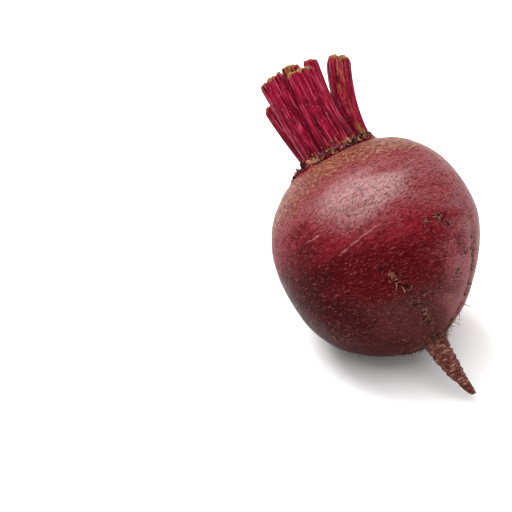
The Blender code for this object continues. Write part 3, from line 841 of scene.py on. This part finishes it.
class BEET_OT_hairs(bpy.types.Operator):
    """Make the side rootlets and the fine hairs that stand along the seams and round the foot of the tail"""

    bl_idname = "beet.hairs"
    bl_label = "Root hairs"

    def execute(self, context):
        settings = context.scene.beet_skin
        material = hair_material(settings)
        rows = side_rootlets(settings.radius)
        self.strands("beet_rootlets", rows, np.full(len(rows), 0.4 * MM), material, 8, 6)
        rows = self.fine_hairs(random.Random(19), settings.radius)
        draw = random.Random(23)
        thickness = np.array([draw.uniform(0.07, 0.17) * MM for _ in rows])
        self.strands("beet_root_hairs", rows, thickness, material, 5, 4)
        return {"FINISHED"}

    def strands(self, name, rows, thickness, material, rings, sides):
        """One object of strands, kept clear of the table."""
        starts, ways, spans, sags = (np.array(column) for column in zip(*rows))
        local = strand_grids(starts, ways, spans, thickness, sags, rings, sides)
        grids = to_world(local)
        grids[..., 2] = np.maximum(grids[..., 2], 0.1 * MM)
        made = grid_object(name, grids, material, {"place": local / MM})
        dress(made, "beet_skin")

    def fine_hairs(self, draw, radius):
        """Hairs lie across the seams and the scars, mat round the tail's foot, and a few hang free."""
        rows = []
        for seam, thick in zip(SEAM_AZIMUTHS, SEAM_HAIRS):
            for _ in range(thick):
                height = (-19.0 - 24.0 * draw.random() ** 0.8) * MM
                azimuth = seam_azimuth(seam, height) + draw.gauss(0.0, 0.04)
                rows.append(self.hair(draw, azimuth, height, radius, draw.uniform(0.8, 2.8), 0.22))
        for scar in SCARS:
            for _ in range(int(8 * scar[2])):
                place = in_scar(draw, scar, 0.4)
                rows.append(self.hair(draw, *place, radius, draw.uniform(0.8, 1.9), 0.15))
        for _ in range(FOOT_HAIRS):
            height = (-42.6 + draw.gauss(0.0, 1.1)) * MM
            rows.append(self.hair(draw, draw.uniform(0, TURN), height, radius, draw.uniform(0.8, 2.6), 0.5))
        for _ in range(TAIL_HAIRS):
            height = draw.uniform(-45.0, -66.0) * MM
            rows.append(self.hair(draw, draw.uniform(0, TURN), height, radius, draw.uniform(0.3, 1.1), 0.6))
        for _ in range(LOOSE_HAIRS):
            height = draw.uniform(-39.0, -43.0) * MM
            azimuth = math.radians(draw.gauss(56.0, 11.0))
            rows.append(self.hair(draw, azimuth, height, radius, draw.uniform(1.6, 3.4), 1.3))
        rows.append(self.hair(draw, math.radians(53.0), -37.0 * MM, radius, 6.5, 1.1))
        rows.append(self.hair(draw, math.radians(51.0), -37.6 * MM, radius, 3.6, 1.5))
        return rows

    def hair(self, draw, azimuth, height, radius, span, rise):
        """A hair's start on the skin, its way, its span and how it bends. rise is how far it stands up."""
        start = root_point(azimuth, height, radius)
        up_skin = unit(root_point(azimuth, height + 0.3 * MM, radius) - start)
        across = np.array([-math.sin(azimuth), math.cos(azimuth), 0.0])
        outward = unit(np.cross(across, up_skin))
        if outward @ np.array([math.cos(azimuth), math.sin(azimuth), -0.4]) < 0:
            outward = -outward
        lean = draw.uniform(0, TURN)
        flat = unit(across * math.cos(lean) * 1.4 + up_skin * math.sin(lean))
        way = unit(flat + outward * draw.uniform(0.3, 1.0) * rise * 2)
        sag = np.array([draw.uniform(-0.5, 0.5) for _ in range(3)]) - outward * 0.2
        return start + outward * 0.05 * MM, way, span * MM, sag


def crown_dip(points):
    """How far the sloping crown end lies below a level one at each point."""
    return -CROWN_DIP_SLOPE * (points[..., 0] * math.cos(CROWN_DIP) + points[..., 1] * math.sin(CROWN_DIP))


def sloped(points):
    """The points of a level crown, lowered to the sloping one."""
    points = np.array(points)
    points[..., 2] += crown_dip(points)
    return points


def blade_grids(base, up, out, width, span, thick, curl):
    """Torn blades. Each rises from its base along up and curls towards out by curl radians.

    Its section is a flat oval that narrows and frays towards the tip, and cups away from out.
    """
    t = np.linspace(0, 1, 8)[None, :, None]
    turn = whole_turn(8)[None, None, :]
    number = np.arange(len(base))[:, None, None]
    side = np.cross(out, up)
    base, up, out, side = (part[:, None, None, :] for part in (base, up, out, side))
    width, span, thick, curl = (part[:, None, None] for part in (width, span, thick, curl))
    bend = np.where(np.abs(curl) < 0.05, 0.05, curl)
    rise = span * np.sin(bend * t) / bend
    lean = span * (1 - np.cos(bend * t)) / bend
    frayed = noise(stacked(number * 7.7, t * 4.0, np.cos(turn) * 1.6), 71)
    half = width / 2 * (1.0 - 0.7 * t**1.7) * (1.0 + 0.6 * frayed * t)
    across = half * np.cos(turn)
    deep = thick / 2 * np.sin(turn) * (1.0 - 0.6 * t) - 0.1 * across**2 / (1 * MM)
    rise = rise * (1 + 0.25 * frayed * t) - deep * np.sin(bend * t)
    lean = lean + deep * np.cos(bend * t)
    return base + up * rise[..., None] + out * lean[..., None] + side * across[..., None], t


def crown_material(settings):
    """Crown cork: the dead bases of leaves, black-brown and ragged, torn to pale fibres at their tips.

    It gives the eye a dark matt band with straw flecks, and red or lilac where living tissue shows. Its lumps
    are a little over a millimetre wide and its fibres half of that, as on a real crown.
    """
    made, tree = new_material("crown_cork")
    grains = {
        "lumps": ("place", (0.8, 0.8, 0.8), 5.0, 0.7, 0.0),
        "fibres": ("place", (1.5, 1.5, 0.6), 4.0, 0.7, 0.0),
    }
    fields = add_fields(tree, ("tip",), grains, {"torn": ("ADD", "tip", "fibres")})
    dyes = add(tree, MASK, attribute_name="dye", output=1)
    for i, dye in enumerate(("straw", "bud", "lilac")):
        fields[dye] = add(tree, "ShaderNodeSeparateXYZ", {0: dyes}, output=i)
    coats = (
        ("lumps", 0.42, 0.66, 1.0, "bark"),
        ("bud", 0.2, 0.8, 0.95, "bud"),
        ("lilac", 0.2, 0.8, 0.9, "lilac"),
        ("straw", 0.2, 0.8, 0.85, "tip"),
        ("torn", 0.95, 1.3, 0.9, "tip"),
        ("fibres", 0.46, 0.3, 0.8, "cork"),
    )
    base = lay_coats(tree, fields, settings, settings.cork, coats)
    bump = add(tree, BUMP, {"Strength": 0.8, "Distance": 0.4 * MM, "Height": fields["fibres"]})
    inputs = {"Base Color": base, "Roughness": 0.7, "Specular IOR Level": 0.05, "Normal": bump}
    shader = add(tree, "ShaderNodeBsdfPrincipled", inputs)
    add(tree, "ShaderNodeOutputMaterial", {"Surface": shader})
    return made


class BEET_OT_crown(bpy.types.Operator):
    """Make the crown: a rough cork dome, and the torn bases of old leaves on it"""

    bl_idname = "beet.crown"
    bl_label = "Crown"

    def execute(self, context):
        settings = context.scene.beet_crown
        material = crown_material(settings)
        dome = self.dome(settings, material)
        dress(dome, "crown_cork", "crown")
        draw = random.Random(3)
        blades = [self.rim_scale(draw, i / settings.rim_scales) for i in range(settings.rim_scales)]
        blades += [self.skin_flake(draw) for _ in range(settings.skin_flakes)]
        blades += [self.inner_scale(draw) for _ in range(settings.inner_scales)]
        blades += [self.shred(draw, row) for row in STALKS for _ in range(settings.shreds)]
        base, up, out, width, span, thick, curl, pale, dye = (np.array(column) for column in zip(*blades))
        grids, t = blade_grids(sloped(base), up, out, width, span, thick, curl)
        shape = grids.shape[:-1]
        masks = {
            "place": grids / MM,
            "tip": np.broadcast_to(pale[:, None, None] * t**1.3, shape),
            "dye": np.broadcast_to(dye[:, None, None, :], grids.shape),
        }
        scales = grid_object("crown_scales", to_world(grids), material, masks)
        dress(scales, "crown_cork")
        return {"FINISHED"}

    def dome(self, settings, material):
        """The CAD crown's profile spun round, roughened by noise that grows towards its rim."""
        run = np.concatenate([[0], np.cumsum(np.hypot(*np.diff(DOME_PROFILE, axis=0).T))])
        along = np.linspace(0, run[-1], 70)
        reach = np.interp(along, run, DOME_PROFILE[:, 0])[:, None] * MM
        rise = np.interp(along, run, DOME_PROFILE[:, 1])[:, None] * MM
        azimuth, reach = np.broadcast_arrays(whole_turn(260)[None, :], reach)
        point = compass(azimuth) * reach[..., None]
        point[..., 2] = rise
        rough = layered_noise(point / (2.6 * MM), 51, 4) * smooth((reach - 6 * MM) / (8 * MM))
        rough = rough * smooth((rise - 35.4 * MM) / (1 * MM))
        point = point + grid_normals(point) * (settings.roughness * rough)[..., None]
        patch = layered_noise(point / (3.5 * MM), 61, 2)
        wall = smooth((37.2 * MM - point[..., 2] + 0.8 * MM * patch) / (0.5 * MM))
        red = np.maximum(wall, smooth(2.0 * patch - 0.3))
        masks = {
            "place": point[None] / MM,
            "tip": (0.35 + 0.4 * layered_noise(point / (1.5 * MM), 57, 2))[None],
            "dye": stacked(0 * patch, red, smooth(2.2 * noise(point / (2.5 * MM), 63) - 0.6))[None],
        }
        return grid_object("crown_dome", to_world(sloped(point))[None], material, masks)

    def dye(self, draw, straw, bud, lilac):
        """Which dye a blade has: straw, bud, lilac or none of them, by their chances."""
        pick = draw.random()
        return (
            1.0 * (pick < straw),
            1.0 * (straw <= pick < straw + bud),
            1.0 * (straw + bud <= pick < straw + bud + lilac),
        )

    def blade(self, draw, sizes, chances, curls, pales):
        """Width, span and thickness from their ranges in millimetres, curl and paleness from theirs, and a dye."""
        sizes = [draw.uniform(*ends) * MM for ends in sizes]
        dye = self.dye(draw, *chances)
        return (*sizes, draw.uniform(*curls), draw.uniform(*pales), dye)

    def stance(self, outward, lean, aside):
        """The way a blade rises, which leans outwards and is pushed aside, and the way its face looks."""
        up = unit(outward * math.sin(lean) + UP * math.cos(lean) + aside)
        return up, unit(outward - up * (outward @ up))

    def rim_scale(self, draw, share):
        """A leaf base on the rim. On the spiky side they are long and stand out, and opposite they lie close."""
        azimuth = TURN * (share + draw.uniform(-0.01, 0.01))
        spiky = max(0.0, math.cos(azimuth - SPIKY_SIDE))
        front = max(0.0, math.cos(azimuth - FACING_SIDE))
        lean = math.radians(draw.uniform(-40, 25) + 50 * spiky**2 * draw.random())
        outward = compass(azimuth + draw.uniform(-0.5, 0.5))
        aside = draw.uniform(-0.8, 0.8) * math.cos(lean) * np.cross(UP, outward)
        up, out = self.stance(outward, lean, aside)
        base = compass(azimuth) * draw.uniform(14.6, 17.3) * MM
        base = base + UP * (draw.uniform(36.4, 37.4) + 0.5 * draw.random() * front) * MM
        dye = self.dye(draw, 0.14 + 0.12 * spiky, 0.14 + 0.26 * front, 0.03 + 0.1 * front)
        span = draw.uniform(0.8, 2.2) + 2.4 * spiky**3 * draw.random() ** 2 + 1.6 * front * draw.random() ** 2
        width = draw.uniform(0.7, 1.4) + 2.2 * draw.random() ** 3
        sizes = (width * MM, span * MM, draw.uniform(0.3, 0.55) * MM)
        return (base, up, out, *sizes, draw.uniform(-0.6, 0.7), draw.uniform(0.1, 1.0), dye)

    def skin_flake(self, draw):
        """A flake of torn skin that curls away from the root's top edge."""
        azimuth = draw.uniform(0, TURN)
        outward = compass(azimuth)
        lean = math.radians(draw.uniform(5, 75))
        up, out = self.stance(outward, lean, draw.uniform(-0.9, 0.9) * np.cross(UP, outward))
        base = outward * draw.uniform(16.4, 17.5) * MM + UP * draw.uniform(35.5, 36.4) * MM
        sizes = ((0.8, 2.2), (0.7, 2.0), (0.25, 0.4))
        return (base, up, out, *self.blade(draw, sizes, (0.4, 0.3, 0.08), (-0.5, 0.9), (0.2, 1.0)))

    def inner_scale(self, draw):
        """A leaf base between the stalks."""
        azimuth = draw.uniform(0, TURN)
        outward = compass(azimuth)
        up, out = self.stance(outward, math.radians(draw.uniform(-20, 25)), 0.0)
        reach = 15.5 * draw.random() ** 0.4
        base = outward * reach * MM + UP * (38.6 - 0.012 * reach**2) * MM
        sizes = ((1.4, 3.4), (1.4, 3.4), (0.35, 0.6))
        return (base, up, out, *self.blade(draw, sizes, (0.25, 0.3, 0.1), (-0.4, 0.7), (0.2, 1.0)))

    def shred(self, draw, row):
        """A torn bit that clings to the foot of a stalk, where the stalk comes out of the crown."""
        level = DOME_OVER_FOOT + draw.uniform(-0.6, 0.6)
        share = level / (row[3] - STALK_FOOT_HEIGHT)
        middle, along, outward, round_crown, width, depth = stalk_section(row, np.array([share]))
        turn = draw.uniform(0, TURN)
        base = middle[0] + outward[0] * math.cos(turn) * depth[0] + round_crown[0] * math.sin(turn) * width[0]
        base[2] -= crown_dip(base)
        out = unit(outward[0] * math.cos(turn) / depth[0] + round_crown[0] * math.sin(turn) / width[0])
        sizes = ((0.6, 1.5), (0.8, 2.2), (0.25, 0.4))
        return (base, along[0], out, *self.blade(draw, sizes, (0.25, 0.45, 0.06), (0.1, 1.1), (0.4, 1.0)))


def bend_through(values, share):
    """The curve through three values at its start, middle and end."""
    first, middle, last = values
    return first * (1 - share) * (1 - 2 * share) + middle * 4 * share * (1 - share) + last * share * (2 * share - 1)


def stalk_section(row, share):
    """Middle, way, outward, sideways, half width and half depth of a stalk at each share of its length.

    The centreline is a curve from the foot to the head, drawn aside towards the point at twice the bow.
    """
    foot, head, high, widths, depths, bow = row[1:7]
    foot = np.array([*foot, STALK_FOOT_HEIGHT]) * MM
    foot[2] += crown_dip(foot)
    head = np.array([*head, high]) * MM
    bend = (foot + head) / 2 + 2 * bow * MM * compass(STALK_BOW)
    s = share[..., None]
    middle = foot * (1 - s) ** 2 + bend * 2 * s * (1 - s) + head * s**2
    along = unit((bend - foot) * (1 - s) + (head - bend) * s)
    outward = unit(np.array([head[0], head[1], 0.0]))
    outward = unit(outward - along * np.sum(along * outward, axis=-1, keepdims=True))
    sideways = np.cross(along, outward)
    width, depth = (bend_through(values, share) / 2 * MM for values in (widths, depths))
    return middle, along, outward, sideways, width, depth


def stalk_material(settings):
    """Beet leaf stalk: crisp watery flesh in a thin ribbed skin.

    It gives the eye wet-looking magenta with pale broken lines on the ribs, partly a painted highlight, dark
    grooves that are painted shade, olive streaks, and a dried straw edge where the knife went through. The strands
    under the skin of a real stalk are about half a millimetre apart, and so are the finest lines here.
    """
    made, tree = new_material("leaf_stalk_skin")
    grains = {
        "lines": ("around", (1.9, 1.9, 0.11), 3.0, 0.65, 0.0),
        "broad": ("around", (0.55, 0.55, 0.07), 2.0, 0.65, 0.0),
        "specks": ("around", (1.7, 1.7, 0.8), 2.0, 0.65, 0.0),
        "blots": ("around", (0.4, 0.4, 0.25), 3.0, 0.65, 0.0),
    }
    mixes = {
        "ribbed": ("MULTIPLY_ADD", "rib", 0.35, "lines"),
        "green": ("ADD", "olive", "blots"),
        "dried": ("ADD", "rim", "specks"),
        "mottled": ("ADD", "rim", "blots"),
        "rooted": ("ADD", "foot", "lines"),
        "shade": ("MULTIPLY_ADD", "broad", 0.6, "blots"),
    }
    coats = (
        ("shade", 0.86, 0.66, 0.55, "groove"),
        # Painted shade between the ribs.
        ("ribbed", 0.74, 0.46, 0.9, "groove"),
        ("lines", 0.50, 0.34, 0.7, "groove"),
        # Painted highlight along the ribs.
        ("ribbed", 0.86, 1.10, 0.8, "crest"),
        ("lines", 0.54, 0.68, 0.75, "crest"),
        # Painted highlight in broad streaks.
        ("broad", 0.56, 0.76, 0.35, "crest"),
        ("specks", 0.62, 0.74, 0.5, "fleck"),
        ("green", 0.95, 1.25, 0.85, "olive"),
        ("rooted", 1.1, 1.45, 0.4, "rim"),
        ("dried", 1.15, 1.55, 0.85, "rim"),
        ("mottled", 1.35, 1.6, 0.7, "olive"),
        ("dried", 1.5, 1.7, 0.7, "fleck"),
    )
    fields = add_fields(tree, ("rib", "olive", "rim", "cut", "foot"), grains, mixes)
    base = lay_coats(tree, fields, settings, settings.flesh, coats)
    around = add(tree, MASK, attribute_name="around", output=1)
    fields["cells"] = add(tree, "ShaderNodeTexVoronoi", {"Vector": around, "Scale": 0.9}, feature="F1")
    flesh = lay_coats(tree, fields, settings, settings.crest, (("cells", 0.2, 0.5, 1.0, "cut"),))
    base = add(tree, MIX, {0: fields["cut"], 6: base, 7: flesh}, **COLOURS)
    bump = add(tree, BUMP, {"Strength": 0.6, "Distance": 0.3 * MM, "Height": fields["lines"]})
    gloss = add(tree, RANGE, {0: fields["specks"], 1: 0.35, 2: 0.65, 3: 0.34, 4: 0.52}, **EASED)
    inputs = {
        "Base Color": base,
        "Roughness": gloss,
        "IOR": 1.4,
        "Specular IOR Level": 0.06,
        "Subsurface Weight": 0.1,
        "Subsurface Radius": (1.0, 0.2, 0.2),
        "Subsurface Scale": 1.0 * MM,
        "Normal": bump,
    }
    shader = add(tree, "ShaderNodeBsdfPrincipled", inputs)
    add(tree, "ShaderNodeOutputMaterial", {"Surface": shader})
    return made


class BEET_OT_stalks(bpy.types.Operator):
    """Make the ribbed leaf stalks, each with its cut end"""

    bl_idname = "beet.stalks"
    bl_label = "Leaf stalks"

    def execute(self, context):
        settings = context.scene.beet_stalks
        material = stalk_material(settings)
        for number, row in enumerate(STALKS):
            self.stalk(number, row, settings, material)
        return {"FINISHED"}

    def stalk(self, number, row, settings, material):
        """The CAD stalk's sections, an oval with ribs and a channel, carried along its bent centreline.

        The last rows fold over the rim and run in to the middle of the cut end.
        """
        node, high, slope, olive, greenest = row[0], row[3], *row[7:]
        caps = max(8, settings.rows // 6)
        share = np.concatenate([np.linspace(0, 1, settings.rows), np.ones(caps)])
        middle, along, outward, sideways, width, depth = stalk_section(row, share)
        share = share[:, None]
        inward = np.concatenate([np.zeros(settings.rows), np.linspace(0.06, 0.97, caps)])[:, None]
        turn = whole_turn(settings.columns)[None, :]
        rib, lines = self.ribs(turn, share, number, settings.ribs)
        ragged = noise(circled(turn, 4, share * 0 + number * 7.3), 83)
        rounded = 1.0 - (0.09 + 0.05 * ragged) * smooth((share - 0.96) / 0.04)
        hollow = 0.3 * np.maximum(0.0, -np.cos(turn)) ** 3
        size = (1.0 + settings.rib * rib) * (1.0 - inward) * rounded
        out = np.cos(turn) * (1.0 - hollow) * depth[:, None] * size
        side = np.sin(turn) * width[:, None] * size
        cut = (inward > 0) * 1.0
        cells = layered_noise(stacked(out, side, out * 0 + number * MM) / (1.4 * MM), 89, 2)
        lift = -slope * smooth((share - 0.8) / 0.2) * out
        lift = lift + 0.7 * MM * ragged * smooth((share - 0.95) / 0.05) * (1 - inward)
        fold = 0.35 * np.sin(np.minimum(inward * 5, math.pi)) - 0.6 * smooth((inward - 0.1) / 0.3)
        lift = lift + cut * fold * MM + cut * 0.25 * MM * cells * smooth(inward * 4)
        point = middle[:, None] + outward[:, None] * out[..., None] + sideways[:, None] * side[..., None]
        point = point + along[:, None] * lift[..., None]
        run = share * (high - STALK_FOOT_HEIGHT)
        facing = math.atan2(row[2][1], row[2][0]) + turn - math.radians(greenest)
        masks = {
            "around": stacked(out / MM + number * 20, side / MM, run + lift / MM),
            "rib": 0.5 + 0.5 * lines,
            "olive": self.olive(turn, facing, share, number, olive),
            "rim": smooth((share - 0.94 + 0.04 * ragged) / 0.06) * (1 - inward),
            "cut": smooth((inward - 0.08) / 0.1),
            "foot": smooth((0.16 - share) / 0.1),
        }
        masks = {name: np.broadcast_to(mask, point.shape[: mask.ndim])[None] for name, mask in masks.items()}
        piece = grid_object(node + "_skin", to_world(point)[None], material, masks)
        dress(piece, "stalk_skin", node)

    def ribs(self, turn, share, number, count):
        """Rib height from -1 to 1: rounded ribs with sharp grooves between them, unevenly spaced and high.

        Each rib is the size of a sine of half the rib count times the angle. The angle wanders, and finer lines
        lie on top. The second field has more of the lines.
        """
        wander = noise(circled(turn, 1.6, share * 1.2 + number * 9), 97)
        crest = 2.0 * np.abs(np.sin(count / 2 * turn + 1.3 * wander * np.sin(turn / 2) ** 2)) ** 0.8 - 1.0
        fine = noise(circled(turn, 12, share * 3 + number * 5), 101)
        uneven = 0.7 + 0.5 * noise(circled(turn, 3, share + number * 3), 103)
        return crest * uneven + 0.35 * fine, crest * uneven + 0.6 * fine

    def olive(self, turn, facing, share, number, amount):
        """Olive share: strongest on the greenest side, in long streaks that fade towards the foot."""
        streak = noise(circled(turn, 5, share * 1.5 + number * 11), 107)
        side = 0.3 + 0.7 * np.exp(-((short_way(facing) / 0.6) ** 2))
        return np.clip(amount * side * (0.6 + 0.4 * share) * (1 + 0.7 * streak), 0, 1)


class BEET_OT_studio(bpy.types.Operator):
    """Make the white paper sweep, the soft lights behind and overhead, the dim room and the camera"""

    bl_idname = "beet.studio"
    bl_label = "Studio"

    def execute(self, context):
        settings = context.scene.beet_studio
        scene = context.scene
        right, ahead = CAMERA_RIGHT, CAMERA_AHEAD
        up = right.cross(ahead).normalized()
        scene.camera = self.camera(settings, right, up, ahead)
        key = (right * KEY_WAY[0] + up * KEY_WAY[1] + ahead * KEY_WAY[2]).normalized()
        self.light("key_light", key, settings.key, KEY_SPREAD)
        self.light("top_light", TOP_WAY, settings.top, TOP_SPREAD)
        self.sweep(settings)
        world = bpy.data.worlds.new("room")
        world.use_nodes = True
        background = world.node_tree.nodes["Background"].inputs
        background["Color"].default_value = (1.0, 1.0, 1.0, 1.0)
        background["Strength"].default_value = settings.room
        scene.world = world
        scene.view_settings.view_transform = "Standard"
        return {"FINISHED"}

    def light(self, name, way, strength, spread):
        """A far light from the way, as wide as the spread, so the whole sweep is lit alike."""
        lamp = bpy.data.lights.new(name, "SUN")
        lamp.energy = strength
        lamp.angle = spread
        made = new_object(name, lamp)
        made.location = way
        made.rotation_euler = way.to_track_quat("Z", "Y").to_euler()

    def camera(self, settings, right, up, ahead):
        """The camera looks past the beet, so the beet's middle falls where the picture needs it."""
        data = bpy.data.cameras.new("camera")
        data.lens = settings.lens
        data.sensor_width = 36.0
        pixels = settings.lens / data.sensor_width * PICTURE
        x = (BODY_IN_PICTURE[0] - PICTURE / 2) / pixels
        y = (PICTURE / 2 - BODY_IN_PICTURE[1]) / pixels
        facing = Matrix((right, up, -ahead)).transposed()
        turned = Vector((0, 0, -1)).rotation_difference(Vector((x, y, -1))).to_matrix()
        made = new_object("camera", data)
        place = Matrix.Translation(Vector(BODY_MIDDLE) - ahead * settings.distance)
        made.matrix_world = place @ (facing @ turned.inverted()).to_4x4()
        return made

    def sweep(self, settings):
        """A round of paper, level in the middle, whose edge curves up. It lies a little under the beet."""
        points = compass(whole_turn(SWEEP_SIDES))[None] * SWEEP_REACH[1:, None, None]
        points[..., 2] = SWEEP_RISE[1:, None]
        mesh = bpy.data.meshes.new("paper_sweep")
        quads, fans = faces_of_grids(1, len(SWEEP_REACH) - 1, SWEEP_SIDES)
        faces = quads[:, ::-1].tolist() + fans[:SWEEP_SIDES, ::-1].tolist()
        points = np.concatenate([points.reshape(-1, 3), [UP * SWEEP_RISE[0]]])
        mesh.from_pydata(points.tolist(), [], faces)
        # Matt white paper off a roll: it gives the eye a plain ground with a soft shadow on it.
        made, tree = new_material("white_paper")
        grainy = {"Base Color": settings.sweep, "Roughness": 0.7, "Specular IOR Level": 0.2}
        shader = add(tree, "ShaderNodeBsdfPrincipled", grainy)
        add(tree, "ShaderNodeOutputMaterial", {"Surface": shader})
        mesh.materials.append(made)
        mesh.shade_smooth()
        new_object("paper_sweep", mesh)


class BEET_PT_panel(bpy.types.Panel):
    """Lists the pieces that can be made"""

    bl_label = "Beetroot"
    bl_idname = "BEET_PT_panel"
    bl_space_type = "VIEW_3D"
    bl_region_type = "UI"
    bl_category = "Beetroot"

    def draw(self, context):
        for kind in OPERATORS:
            self.layout.operator(kind.bl_idname)


SETTINGS = {
    "beet_skin": BeetSkinSettings,
    "beet_stalks": StalkSettings,
    "beet_crown": CrownSettings,
    "beet_studio": StudioSettings,
}
OPERATORS = (BEET_OT_root, BEET_OT_hairs, BEET_OT_crown, BEET_OT_stalks, BEET_OT_studio)


def register():
    for kind in (*SETTINGS.values(), *OPERATORS, BEET_PT_panel):
        bpy.utils.register_class(kind)
    for name, kind in SETTINGS.items():
        setattr(bpy.types.Scene, name, PointerProperty(type=kind))


def unregister():
    for name in SETTINGS:
        delattr(bpy.types.Scene, name)
    for kind in reversed((*SETTINGS.values(), *OPERATORS, BEET_PT_panel)):
        bpy.utils.unregister_class(kind)


def main():
    register()
    bpy.ops.beet.root()
    bpy.ops.beet.hairs()
    bpy.ops.beet.crown()
    bpy.ops.beet.stalks()
    bpy.ops.beet.studio()


if __name__ == "__main__":
    main()
